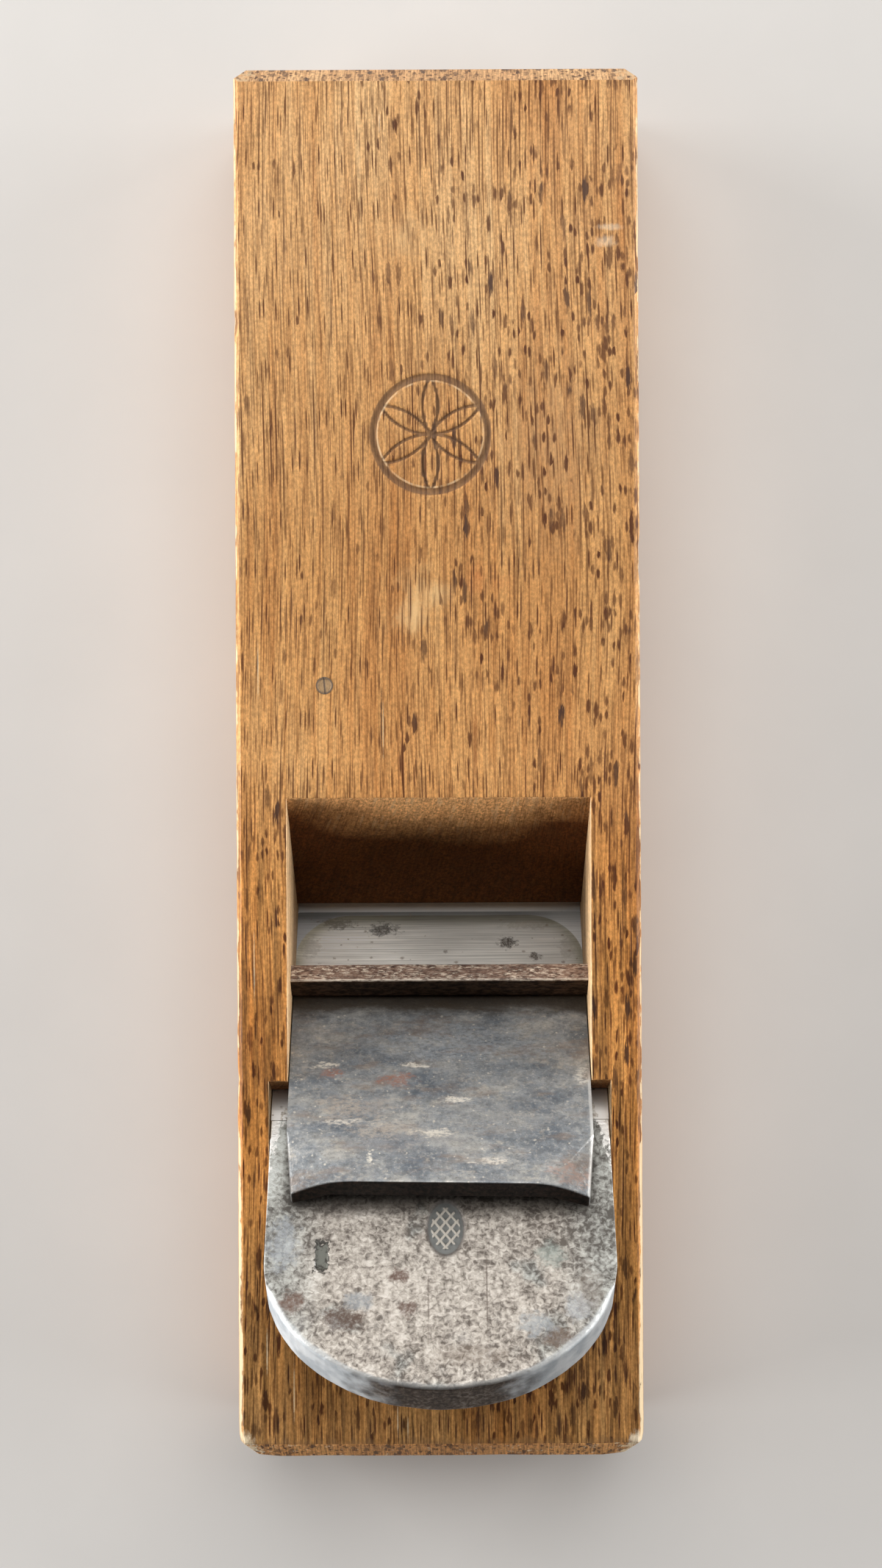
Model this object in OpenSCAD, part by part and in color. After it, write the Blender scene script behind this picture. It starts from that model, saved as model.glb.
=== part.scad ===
// Japanese smoothing plane: an oak block, a laminated blade, its chipbreaker and the cross pin.
// X runs across, Y towards the toe, Z up from the sole. The origin is the centre of the sole.

/* [Body block] */
// Width of the oak block
body_w = 80; // [76:1:96]
// Length of the oak block
body_l = 275; // [250:1:320]
// Thickness of the oak block
body_h = 36; // [34:0.5:40]
// Run of the chamfer at each end of the top face
end_chamfer_run = 3; // [1:0.5:6]
// Drop of the chamfer at each end of the top face
end_chamfer_drop = 2.7; // [1:0.1:5]
// Chamfer along the long top edges
side_chamfer = 1; // [0.5:0.1:2]
// Chamfer along the long edges of the sole
sole_chamfer = 0.6; // [0.3:0.1:1.5]
// Chamfer of the upright corners at the toe
toe_corner = 2.4; // [1:0.2:5]
// Chamfer of the upright corners at the struck heel
heel_corner = 3.2; // [1:0.2:5]
// Length of each strip of the sole that touches the work
contact_strip = 12; // [8:1:20]
// Depth of the hollows between the contact strips
sole_relief = 0.3; // [0.1:0.1:0.6]

/* [Throat] */
// Distance from the heel end to the cutting edge
edge_from_heel = 106; // [100:1:115]
// Slope of the bed that carries the blade
bed_angle = 38; // [36:0.5:41]
// Width between the cheeks
throat_w = 60; // [59.7:0.1:62]
// Gap between the cutting edge and the front lip of the mouth
mouth_gap = 2.1; // [0.8:0.1:3]
// Height of the upright lip above the mouth
lip_h = 4; // [2:0.5:8]
// Slope of the front wall above the lip
front_angle = 55; // [50:1:65]
// Length of the side grooves, measured up the blade from its edge
groove_l = 44; // [38:1:48]
// Lean of the upper ends of the cheeks
cheek_lean = 20; // [10:1:30]

/* [Blade] */
// Width of the blade
blade_w = 67; // [64:0.5:70]
// Length of the blade along its face
blade_l = 107.5; // [98:0.5:115]
// Thickness of the blade at its head
blade_t = 10; // [9:0.5:11]
// Taper of the blade from its head to its edge
blade_taper = 1.5; // [1:0.25:2]
// Bevel that forms the cutting edge
bevel_angle = 28; // [25:0.5:31]
// Height of the backed-off cutting edge above the sole
edge_lift = 0.8; // [0.3:0.1:1.5]
// Width of the cutting edge between its ground-off corners
edge_w = 59.4; // [56:0.2:59.6]
// Length of the ground-off corners
edge_corner_l = 7; // [4:0.5:10]
// Radius of the crowned head
crown_r = 60; // [50:1:80]
// Radius that eases the crown into the cut corners
crown_side_r = 38; // [36:0.5:45]
// How far that easing arc stands above the crown at the middle
crown_side_lift = 0.7; // [0.3:0.1:1.2]
// Width of each corner cut off the head
head_corner_w = 19; // [14:0.5:22]
// Length of each corner cut off the head
head_corner_l = 19.4; // [14:0.2:24]
// Thickness of the hard steel facing
steel_t = 2; // [1.5:0.1:3]
// Length of the hard steel facing
steel_l = 51; // [45:1:60]

/* [Hollow of the blade] */
// Depth of the hollow ground into the steel facing
hollow_depth = 0.35; // [0.2:0.05:0.6]
// Flat land left between the hollow and the cutting edge
hollow_land = 0.7; // [0.5:0.1:3]
// Flat land left along each side of the hollow
hollow_side_land = 3; // [2:0.25:5]
// Distance from the cutting edge to the top of the hollow
hollow_top = 46; // [40:1:49]
// Radius of the corners of the hollow
hollow_r = 12; // [6:0.5:16]

/* [Chipbreaker] */
// Width of the chipbreaker
chip_w = 59.5; // [57:0.1:59.6]
// Length of the chipbreaker
chip_l = 55.8; // [50:0.5:62]
// Thickness of the chipbreaker
chip_t = 4.8; // [4:0.1:5.5]
// Distance from the blade's edge to the chipbreaker's edge, as backed off
chip_back = 14.5; // [8:0.5:18]
// Bevel at the front of the chipbreaker
chip_bevel = 28; // [25:1:40]
// Height of the steeper facet at the chipbreaker's edge
chip_facet_h = 0.4; // [0.2:0.1:0.8]
// Slope of the steeper facet at the chipbreaker's edge
chip_facet_angle = 60; // [50:1:70]
// How much longer the right side is than the left side
chip_skew = 1.1; // [0:0.1:2]
// Width of each ear bent down at the head
ear_w = 8.7; // [7:0.1:11]
// Length of each ear bent down at the head
ear_l = 11; // [8:0.5:14]
// Drop of the corner of each ear below the plate
ear_drop = 4.8; // [3.5:0.1:6]
// Thickness left at the corner of each ear
ear_t = 3.4; // [2.5:0.1:4]
// How far the corner of each ear is drawn in from the side
ear_tuck = 1; // [0.5:0.1:2]
// Thickness of the hard steel under the edge
chip_steel_t = 1.2; // [0.8:0.1:1.6]
// Length of the hard steel under the edge
chip_steel_l = 18; // [12:1:24]

/* [Retaining pin] */
// Width of the bar, up the slope
pin_w = 4.1; // [3.5:0.1:5]
// Height of the bar, square to the blade's face
pin_h = 5.5; // [4.5:0.1:6.5]
// Distance from the cutting edge to the middle of the bar
pin_s = 24.1; // [22:0.5:27]
// Depth of each end of the bar below the side of the block
pin_recess = 0.6; // [0.2:0.1:2]

/* [Peg] */
// Diameter of the small peg in the top face
peg_d = 3.4; // [2.5:0.1:5]
// Length of the peg
peg_l = 12; // [6:1:20]
// Distance of the peg from the centre line
peg_x = 22.4; // [15:0.2:25]
// Distance of the peg from the toe end
peg_from_toe = 122.3; // [100:0.5:125]

/* [Clearances] */
// Gap under the blade, to its bed
bed_gap = 0.15; // [0.1:0.05:0.3]
// Gap above the blade's face, in each groove
groove_gap = 0.15; // [0.1:0.05:0.3]
// Gap at each side of the blade, in its groove
side_gap = 0.25; // [0.15:0.05:0.5]
// Gap between the chipbreaker's edge and the blade's face
chip_gap = 0.15; // [0.1:0.05:0.3]
// Gap between the chipbreaker's ears and the blade's face
ear_gap = 0.2; // [0.15:0.05:0.4]
// Gap over the chipbreaker under the pin, once it is tapped down
pin_gap = 0.35; // [0.25:0.05:0.6]
// Distance between the two edges, once the chipbreaker is tapped down
chip_work_back = 1; // [0.5:0.1:2]
// Gap round the pin and the peg in their holes
fit_gap = 0.02; // [0.01:0.01:0.05]

/* [Hidden] */
$fn = 96;

// How far a cut runs past the faces that it opens
over = 1;

// The cutting edge, the blade's face and the wood behind and before it
edge_y = edge_from_heel - body_l / 2;
face_angle = bed_angle + blade_taper;
blade_toe_t = blade_t - blade_l * tan(blade_taper);
bevel_heel_s = blade_toe_t / (tan(bevel_angle) - tan(blade_taper));
lip_y = edge_y + mouth_gap;
front_top_y = lip_y + (body_h - lip_h) / tan(front_angle);
pocket_w = blade_w + 2 * side_gap;

// The ears hold the chipbreaker's head off the blade, which tilts the plate
head_rise = ear_drop + ear_t - chip_t + ear_gap;
chip_tilt = asin((head_rise - chip_gap) / chip_l);

// The pin sits just above the plate when the plate is tapped down under it
pin_far_s = pin_s + pin_w / 2;
pin_u = chip_gap + (pin_far_s - chip_work_back) * tan(chip_tilt) + chip_t / cos(chip_tilt) + pin_gap;

// Side view of a point s up the blade's face from the cutting edge and u above that face
function on_blade(s, u) = [
    edge_y - s * cos(face_angle) + u * sin(face_angle),
    edge_lift + s * sin(face_angle) + u * cos(face_angle)
];

// Distance up the blade's face at which the line u above it is at height z
function s_at(z, u) = (z - edge_lift - u * cos(face_angle)) / sin(face_angle);

// Place along the block of the bed's surface at height z
function bed_y(z) =
    let (back = on_blade(0, -blade_toe_t))
    back[0] - (z - back[1] + bed_gap / cos(bed_angle)) / tan(bed_angle);

// Draws a side view, with Y to the right and Z up, and gives it the width w
module across(w) {
    rotate([90, 0, 90])
        linear_extrude(height = w, center = true)
            children();
}

// Moves from the blade's own frame to the block: x across, y up the face, z off the face
module on_face() {
    translate([0, edge_y, edge_lift])
        rotate([face_angle, 0, 180])
            children();
}

// Moves from the chipbreaker's own frame to the block
module on_chip() {
    on_face()
        translate([0, chip_back, chip_gap])
            rotate([chip_tilt, 0, 0])
                children();
}

// Wedge that cuts a chamfer of the given run and drop off a corner at [0, 0]
module chamfer_wedge(run, drop) {
    polygon([
        [-2 * run, drop],
        [run, drop],
        [run, -2 * drop]
    ]);
}

// The block seen from above, with its upright corners cut
module body_plan() {
    half_w = body_w / 2;
    half_l = body_l / 2;
    polygon([
        [-half_w, heel_corner - half_l],
        [heel_corner - half_w, -half_l],
        [half_w - heel_corner, -half_l],
        [half_w, heel_corner - half_l],
        [half_w, half_l - toe_corner],
        [half_w - toe_corner, half_l],
        [toe_corner - half_w, half_l],
        [-half_w, half_l - toe_corner]
    ]);
}

// Chamfers at both ends of the top face
module end_chamfers() {
    for (side = [0, 1])
        mirror([0, side, 0])
            across(body_w + 2 * over)
                translate([body_l / 2, body_h])
                    chamfer_wedge(end_chamfer_run, end_chamfer_drop);
}

// Chamfers along both long edges, of the top face and of the sole
module long_chamfers() {
    for (side = [0, 1])
        mirror([side, 0, 0])
            rotate([90, 0, 0])
                linear_extrude(height = body_l + 2 * over, center = true) {
                    translate([body_w / 2, body_h])
                        chamfer_wedge(side_chamfer, side_chamfer);
                    translate([body_w / 2, 0])
                        mirror([0, 1])
                            chamfer_wedge(sole_chamfer, sole_chamfer);
                }
}

// Shallow hollows that leave the sole touching at the toe, before the mouth and at the heel
module sole_hollows() {
    width = body_w + 2 * over;
    toe_hollow = body_l / 2 - contact_strip - (lip_y + contact_strip);
    heel_hollow = lip_y + body_l / 2 - contact_strip;
    translate([-width / 2, lip_y + contact_strip, -over])
        cube([width, toe_hollow, over + sole_relief]);
    translate([-width / 2, contact_strip - body_l / 2, -over])
        cube([width, heel_hollow, over + sole_relief]);
}

// The throat between the cheeks, from the front wall back to the bed
module throat() {
    top = body_h + over;
    across(throat_w)
        polygon([
            [lip_y, -over],
            [lip_y, lip_h],
            [front_top_y + over / tan(front_angle), top],
            [bed_y(top), top],
            [bed_y(-over), -over]
        ]);
}

// The side grooves and the open pocket above them, as wide as the blade
module blade_pocket() {
    top = body_h + over;
    cheek_foot = on_blade(groove_l, groove_gap);
    across(pocket_w)
        polygon([
            on_blade(s_at(-over, groove_gap), groove_gap),
            cheek_foot,
            [cheek_foot[0] + (top - cheek_foot[1]) * tan(cheek_lean), top],
            [bed_y(top), top],
            [bed_y(-over), -over]
        ]);
}

// The retaining pin's bar, made larger all round by gap
module pin_bar(length, gap) {
    on_face()
        translate([-length / 2, pin_s - pin_w / 2 - gap, pin_u - gap])
            cube([length, pin_w + 2 * gap, pin_h + 2 * gap]);
}

module body_block() {
    color([0.72, 0.50, 0.28])
        difference() {
            linear_extrude(height = body_h)
                body_plan();
            end_chamfers();
            long_chamfers();
            sole_hollows();
            throat();
            blade_pocket();
            pin_bar(body_w + 2 * over, fit_gap);
            translate([-peg_x, body_l / 2 - peg_from_toe, body_h - peg_l])
                cylinder(d = peg_d + 2 * fit_gap, h = peg_l + over);
        }
}

module body_peg() {
    color([0.45, 0.38, 0.30])
        translate([-peg_x, body_l / 2 - peg_from_toe, body_h - peg_l])
            cylinder(d = peg_d, h = peg_l);
}

module retaining_pin() {
    color([0.42, 0.34, 0.31])
        pin_bar(body_w - 2 * pin_recess, 0);
}

// The blade seen square to its face
module blade_plan() {
    half_w = blade_w / 2;
    shoulder = blade_l - head_corner_l;
    easing_s = blade_l + crown_side_lift - crown_side_r;
    intersection() {
        polygon([
            [-edge_w / 2, 0],
            [edge_w / 2, 0],
            [half_w, edge_corner_l],
            [half_w, shoulder],
            [half_w - head_corner_w, blade_l],
            [head_corner_w - half_w, blade_l],
            [-half_w, shoulder],
            [-half_w, edge_corner_l]
        ]);
        translate([0, blade_l - crown_r])
            circle(r = crown_r);
        union() {
            translate([0, easing_s])
                circle(r = crown_side_r);
            translate([-half_w, 0])
                square([blade_w, easing_s]);
        }
    }
}

// The whole blade, iron and steel together
module blade_wedge() {
    intersection() {
        translate([0, 0, -blade_t - over])
            linear_extrude(height = blade_t + 2 * over)
                blade_plan();
        across(blade_w + 2 * over)
            polygon([
                [0, 0],
                [blade_l + over, 0],
                [blade_l + over, -blade_t - over * tan(blade_taper)],
                [bevel_heel_s, -bevel_heel_s * tan(bevel_angle)]
            ]);
    }
}

// The part of the blade that is faced with steel
module steel_zone() {
    translate([-blade_w / 2 - over, -over, -steel_t])
        cube([blade_w + 2 * over, steel_l + over, steel_t + over]);
}

// The hollow in the steel facing, with rounded corners
module face_hollow() {
    half_w = blade_w / 2 - hollow_side_land;
    inner_w = half_w - hollow_r;
    low = hollow_land + hollow_r;
    high = hollow_top - hollow_r;
    translate([0, 0, -hollow_depth])
        linear_extrude(height = hollow_depth + over) {
            translate([-half_w, low])
                square([2 * half_w, high - low]);
            translate([-inner_w, hollow_land])
                square([2 * inner_w, hollow_top - hollow_land]);
            for (x = [-inner_w, inner_w], s = [low, high])
                translate([x, s])
                    circle(r = hollow_r);
        }
}

module blade_iron() {
    color([0.48, 0.47, 0.45])
        on_face()
            difference() {
                blade_wedge();
                steel_zone();
            }
}

module blade_steel() {
    color([0.72, 0.74, 0.75])
        on_face()
            difference() {
                intersection() {
                    blade_wedge();
                    steel_zone();
                }
                face_hollow();
            }
}

// Length of the chipbreaker at x across it, in its own frame, where the block's right is -x
function chip_end(x) = chip_l - x * chip_skew / chip_w;

// One ear of the chipbreaker, bent down about the slanting line where it leaves the plate
module chip_ear(side) {
    half_w = chip_w / 2;
    inner_x = half_w - ear_w;
    at_side = [half_w, chip_end(side * half_w) - ear_l];
    at_end = [inner_x, chip_end(side * inner_x)];
    corner = [half_w - ear_tuck, chip_end(side * half_w)];
    low = chip_t - ear_drop;
    mirror([(1 - side) / 2, 0, 0])
        polyhedron(
            points = [
                [at_side[0], at_side[1], chip_t],
                [at_end[0], at_end[1], chip_t],
                [corner[0], corner[1], low],
                [at_side[0], at_side[1], 0],
                [at_end[0], at_end[1], 0],
                [corner[0], corner[1], low - ear_t]
            ],
            faces = [[0, 1, 2], [5, 4, 3], [1, 0, 3, 4], [2, 1, 4, 5], [0, 2, 5, 3]]
        );
}

// The flat of the chipbreaker between its ears
module chip_plan() {
    half_w = chip_w / 2;
    end_x = half_w - ear_w;
    polygon([
        [-half_w, 0],
        [half_w, 0],
        [half_w, chip_end(half_w) - ear_l],
        [end_x, chip_end(end_x)],
        [-end_x, chip_end(-end_x)],
        [-half_w, chip_end(-half_w) - ear_l]
    ]);
}

// The whole chipbreaker, iron and steel together
module chip_plate() {
    facet_run = chip_facet_h / tan(chip_facet_angle);
    bevel_run = facet_run + (chip_t - chip_facet_h) / tan(chip_bevel);
    far = chip_l + chip_skew + over;
    intersection() {
        linear_extrude(height = chip_t)
            chip_plan();
        across(chip_w + 2 * over)
            polygon([
                [0, 0],
                [far, 0],
                [far, chip_t],
                [bevel_run, chip_t],
                [facet_run, chip_facet_h]
            ]);
    }
    for (side = [-1, 1])
        chip_ear(side);
}

// The part of the chipbreaker that is faced with steel
module chip_steel_zone() {
    translate([-chip_w / 2 - over, -over, -over])
        cube([chip_w + 2 * over, chip_steel_l + over, chip_steel_t + over]);
}

module chipbreaker_iron() {
    color([0.40, 0.43, 0.46])
        on_chip()
            difference() {
                chip_plate();
                chip_steel_zone();
            }
}

module chipbreaker_steel() {
    color([0.66, 0.68, 0.70])
        on_chip()
            intersection() {
                chip_plate();
                chip_steel_zone();
            }
}

body_block();
body_peg();
retaining_pin();
blade_iron();
blade_steel();
chipbreaker_iron();
chipbreaker_steel();
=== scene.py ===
# Looks for the wooden smoothing plane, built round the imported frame.
# Lengths in the settings are millimetres. The block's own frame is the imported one. The blade's frame lies on
# its face, with x to the right, y up the slope from the cutting edge and z down into the metal, and the
# chipbreaker's frame lies on its face in the same way.
import math
from functools import reduce

import bmesh
import bpy
from mathutils import Euler, Matrix, Vector, noise


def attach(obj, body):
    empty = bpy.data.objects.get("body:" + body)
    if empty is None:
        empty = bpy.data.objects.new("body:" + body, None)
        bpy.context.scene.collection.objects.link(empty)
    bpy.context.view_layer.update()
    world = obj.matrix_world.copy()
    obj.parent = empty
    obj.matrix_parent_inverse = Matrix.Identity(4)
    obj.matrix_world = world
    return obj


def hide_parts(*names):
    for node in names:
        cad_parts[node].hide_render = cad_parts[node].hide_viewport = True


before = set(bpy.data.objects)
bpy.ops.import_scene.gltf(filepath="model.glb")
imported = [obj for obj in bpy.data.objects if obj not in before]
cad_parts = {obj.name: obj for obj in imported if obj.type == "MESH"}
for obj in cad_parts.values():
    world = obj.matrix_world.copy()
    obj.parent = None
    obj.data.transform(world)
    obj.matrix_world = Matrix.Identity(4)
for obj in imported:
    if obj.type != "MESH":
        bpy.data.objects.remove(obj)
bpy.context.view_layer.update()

mm = 0.001
blockFrame = {"place": (0, 0, 0), "turn": (0, 0, 0)}
bladeFrame = {"place": (0, -31.5, 0.8), "turn": (140.5, 0, 0)}
chipFrame = {"place": (0, -39.317, 13.647), "turn": (136.955, 0, 0)}
# an edge whose faces meet flatter than this, in radians, isn't bevelled
flatEdge = 0.12
print("frame loaded")


# handling meshes

def deselectAll():
    if bpy.context.mode != "OBJECT":
        bpy.ops.object.mode_set(mode="OBJECT")
    bpy.ops.object.select_all(action="DESELECT")


def onlySelect(piece):
    deselectAll()
    piece.select_set(True)
    bpy.context.view_layer.objects.active = piece


def editAll(piece):
    onlySelect(piece)
    bpy.ops.object.mode_set(mode="EDIT")
    bpy.ops.mesh.select_all(action="SELECT")


def backToObject():
    bpy.ops.object.mode_set(mode="OBJECT")


def cadCopy(nodeName, pieceName):
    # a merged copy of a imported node, with its flat faces whole again
    piece = bpy.data.objects.new(pieceName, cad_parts[nodeName].data.copy())
    bpy.context.scene.collection.objects.link(piece)
    piece.data.materials.clear()
    editAll(piece)
    bpy.ops.mesh.remove_doubles(threshold=1e-6)
    bpy.ops.mesh.dissolve_limited(angle_limit=math.radians(0.3))
    bpy.ops.mesh.customdata_custom_splitnormals_clear()
    backToObject()
    return piece


def pick(piece, kind, test):
    # selects parts of the mesh by a test, and stays in edit mode
    onlySelect(piece)
    bpy.ops.object.mode_set(mode="EDIT")
    bpy.ops.mesh.select_mode(type=kind)
    bpy.ops.mesh.select_all(action="DESELECT")
    mesh = bmesh.from_edit_mesh(piece.data)
    for part in {"EDGE": mesh.edges, "FACE": mesh.faces}[kind]:
        if test(part):
            part.select_set(True)
    bmesh.update_edit_mesh(piece.data)


def placed(within):
    turn = Euler([math.radians(angle) for angle in within["turn"]])
    return Matrix.Translation(Vector(within["place"]) * mm) @ turn.to_matrix().to_4x4()


def inFrame(point, toLocal):
    return (toLocal @ point) / mm


def bevelWhere(piece, test, width, segments=3, within=blockFrame):
    toLocal = placed(within).inverted()

    def wanted(edge):
        if edge.calc_face_angle(0) < flatEdge or not edge.is_convex:
            return False
        return test(*[inFrame(vert.co, toLocal) for vert in edge.verts])

    pick(piece, "EDGE", wanted)
    bpy.ops.mesh.bevel(offset=width * mm, segments=segments, affect="EDGES", clamp_overlap=True)
    backToObject()


def subdivideWhere(piece, test, cuts, within=blockFrame):
    toLocal = placed(within).inverted()
    pick(piece, "FACE", lambda face: test(inFrame(face.calc_center_median(), toLocal)))
    bpy.ops.mesh.subdivide(number_cuts=cuts, smoothness=0)
    backToObject()


def cutWith(point, normal, **settings):
    # cuts the whole mesh in edit mode with a plane
    bpy.ops.mesh.select_all(action="SELECT")
    bpy.ops.mesh.bisect(plane_co=point, plane_no=normal, **settings)


def sliceAcross(piece, slices, within=blockFrame):
    # cuts loops square to an axis, so that the faces can be worn and dented
    local = placed(within)
    editAll(piece)
    for axis, low, high, step in slices:
        direction = Vector((0, 0, 0))
        direction[axis] = 1
        for place in steps(low, high, step):
            cutWith(local @ (direction * (place * mm)), local.to_3x3() @ direction)
    backToObject()


def steps(low, high, step):
    count = int(round((high - low) / step))
    return [low + step * index for index in range(count + 1)]


def reshape(piece, change, within=blockFrame):
    # change takes a point in the frame's millimetres and gives it back moved, or gives None where it stays
    local = placed(within)
    toLocal = local.inverted()
    for vert in piece.data.vertices:
        point = change(inFrame(vert.co, toLocal))
        if point is not None:
            vert.co = local @ (point * mm)


def smoothAll(piece, angle):
    onlySelect(piece)
    bpy.ops.object.shade_smooth_by_angle(angle=math.radians(angle))
    even = piece.modifiers.new("evenNormals", "WEIGHTED_NORMAL")
    even.keep_sharp = True
    bpy.ops.object.modifier_apply(modifier=even.name)


def grain(point, size, seed=0.0):
    return noise.noise(Vector((point[0] / size[0] + seed, point[1] / size[1], point[2] / size[2])))


def fade(value, low, high):
    t = min(max((value - low) / (high - low), 0), 1)
    return t * t * (3 - 2 * t)


# handling shader nodes

def feed(tree, socket, value):
    if isinstance(value, Signal):
        tree.links.new(value.socket, socket)
    elif socket.type == "RGBA":
        socket.default_value = (*value, 1)
    else:
        socket.default_value = value


def addNode(tree, kind, sockets, **settings):
    node = tree.nodes.new("ShaderNode" + kind)
    for name, value in settings.items():
        setattr(node, name, value)
    for name, value in sockets.items():
        feed(tree, node.inputs[name], value)
    return node


class Signal:
    # an output socket with its node tree, so that materials can be written as sums
    def __init__(self, tree, socket=None):
        self.tree = tree
        self.socket = socket

    def add(self, kind, sockets, output=0, **settings):
        return Signal(self.tree, addNode(self.tree, kind, sockets, **settings).outputs[output])

    def maths(self, operation, first, second=None):
        kind = "VectorMath" if self.socket.type == "VECTOR" else "Math"
        sockets = {0: first} if second is None else {0: first, 1: second}
        return self.add(kind, sockets, operation=operation)

    def __add__(self, other):
        return self.maths("ADD", self, other)

    def __sub__(self, other):
        return self.maths("SUBTRACT", self, other)

    def __rsub__(self, other):
        return self.maths("SUBTRACT", other, self)

    def __mul__(self, other):
        return self.maths("MULTIPLY", self, other)

    def __truediv__(self, other):
        return self.maths("DIVIDE", self, other)

    def __abs__(self):
        return self.maths("ABSOLUTE", self)

    def most(self, other):
        return self.maths("MAXIMUM", self, other)

    def length(self):
        return self.add("VectorMath", {0: self}, "Value", operation="LENGTH")

    def split(self):
        return [Signal(self.tree, socket) for socket in addNode(self.tree, "SeparateXYZ", {0: self}).outputs]

    def joined(self, y, z):
        return self.add("CombineXYZ", {0: self, 1: y, 2: z})

    def spread(self, low, high, toLow=0.0, toHigh=1.0):
        sockets = {"Value": self, "From Min": low, "From Max": high, "To Min": toLow, "To Max": toHigh}
        return self.add("MapRange", sockets, interpolation_type="SMOOTHSTEP")

    def between(self, first, second):
        # mixes two colours by this value
        return self.add("Mix", {0: self, 6: first, 7: second}, 2, data_type="RGBA")

    def painted(self, colour, mask):
        return mask.between(self, colour)

    def tinted(self, colour, amount=1.0):
        sockets = {0: amount, 6: self, 7: colour}
        return self.add("Mix", sockets, 2, data_type="RGBA", blend_type="MULTIPLY")

    def dimmed(self, value):
        return self.tinted(value.joined(value, value))

    def ramp(self, *stops):
        node = addNode(self.tree, "ValToRGB", {"Fac": self})
        points = node.color_ramp.elements
        while len(points) < len(stops):
            points.new(0.5)
        for point, (place, colour) in zip(points, stops):
            point.position = place
            point.color = (*colour, 1)
        return Signal(self.tree, node.outputs["Color"])

    def clouds(self, size, detail=3.0, roughness=0.5, distortion=0.0):
        sockets = {"Vector": self / size, "Scale": 1, "Detail": detail, "Roughness": roughness}
        return self.add("TexNoise", {**sockets, "Distortion": distortion})

    def cells(self, size, dimensions="3D"):
        # gives the distance to the middle of a cell, and three random values for the cell
        sockets = {"Vector": self / size, "Scale": 1}
        outputs = addNode(self.tree, "TexVoronoi", sockets, voronoi_dimensions=dimensions).outputs
        return Signal(self.tree, outputs["Distance"]), Signal(self.tree, outputs["Color"]).split()

    def effect(self, name, sockets):
        group = {"node_tree": bpy.data.node_groups[name]}
        outputs = addNode(self.tree, "Group", {"Coords": self, **sockets}, **group).outputs
        return {socket.name: Signal(self.tree, socket) for socket in outputs}


def makeEffect(name, inputs, outputs, build):
    tree = bpy.data.node_groups.new(name, "ShaderNodeTree")
    for socket, kind in inputs.items():
        tree.interface.new_socket(name=socket, in_out="INPUT", socket_type="NodeSocket" + kind)
    for socket in outputs:
        tree.interface.new_socket(name=socket, in_out="OUTPUT", socket_type="NodeSocketFloat")
    entry = tree.nodes.new("NodeGroupInput").outputs
    leave = tree.nodes.new("NodeGroupOutput").inputs
    results = build(*[Signal(tree, entry[socket]) for socket in inputs])
    for socket, value in zip(outputs, results):
        feed(tree, leave[socket], value)


def newMaterial(name, within):
    # gives the material, and millimetre coordinates in the given frame
    material = bpy.data.materials.new(name)
    material.use_nodes = True
    start = Signal(material.node_tree)
    sockets = {"Vector": start.add("TexCoord", {}, "Object"), "Location": Vector(within["place"]) * mm,
               "Rotation": [math.radians(angle) for angle in within["turn"]], "Scale": (mm, mm, mm)}
    return material, start.add("Mapping", sockets, vector_type="TEXTURE")


def finished(material, looks, height=None):
    # height is in millimetres
    tree = material.node_tree
    if height is not None:
        looks["Normal"] = height.add("Bump", {"Strength": 1, "Distance": mm, "Height": height})
    for name, value in looks.items():
        feed(tree, tree.nodes["Principled BSDF"].inputs[name], value)
    return material


# effects that several materials share

def oakGrain(coords, stainCover):
    # the coordinates run across the grain, along it and into the wood
    x, y, z = coords.split()
    sway = (coords.clouds((60, 160, 60), 1) - 0.5) * 7
    lean = z * (x - 28) * (1 / 150)
    bent = (x + sway - lean).joined(y, z)
    fray = bent.clouds((0.26, 2.4, 1), 2, 0.6) - 0.5

    def dashes(size, wide, narrow, low, high):
        away, (chance, depth, _) = bent.cells(size, "2D")
        return away.spread(wide, narrow) * chance.spread(low, high) * (depth * 0.6 + 0.4)

    def spindles(size, reach, amount):
        away, (chance, depth, _) = bent.cells(size, "2D")
        low = 1 - stainCover * amount
        core = (away + fray * 0.6).spread(reach, reach * 0.5) * chance.spread(low, low + 0.08)
        return core * (depth * 0.4 + 0.6)

    pores = dashes((0.85, 75, 1), 0.2, 0.09, 0.0, 0.3).most(dashes((0.75, 34, 1), 0.2, 0.09, 0.1, 0.4))
    pores = pores.most(dashes((0.6, 10, 1), 0.29, 0.14, 0.1, 0.4))
    thin = dashes((0.42, 46, 1), 0.27, 0.12, 0.0, 0.2).most(dashes((0.4, 16, 1), 0.29, 0.12, 0.0, 0.3))
    pores = pores.most(thin * 0.62)
    large = spindles((1.6, 9.5, 1), 0.33, 0.34)
    small = spindles((1.05, 6.0, 1), 0.34, 0.28).most(spindles((0.8, 3.4, 1), 0.38, 0.32))
    hue = bent.clouds((6, 14, 20), 1).spread(0.36, 0.52) * large
    streaks = bent.clouds((1.7, 100, 7), 4, 0.66)
    broad = bent.clouds((17, 80, 24), 2)
    fibres = bent.clouds((0.32, 18, 0.6), 3, 0.7)
    return streaks, broad, fibres, pores, large.most(small), hue


def softSpot(coords, centre, radii, fray, fraySize, core):
    away = ((coords - centre) / radii).length()
    away = away + (coords.clouds(fraySize, 6, 0.72) - 0.5) * fray
    return [away.spread(1, core)]


def blotches(coords, size, cover, softness):
    low = 1 - cover
    return [coords.clouds(size, 6, 0.62).spread(low, low + softness)]


def pits(coords, spacing, width, cover):
    away, (chance, size, _) = coords.cells(spacing)
    away = away + (coords.clouds((0.35, 0.35, 0.35), 2) - 0.5) * 0.35
    edge = width * (size + 0.3)
    return [away.spread(edge, edge * 0.35) * chance.spread(cover + 0.05, cover)]


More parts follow.
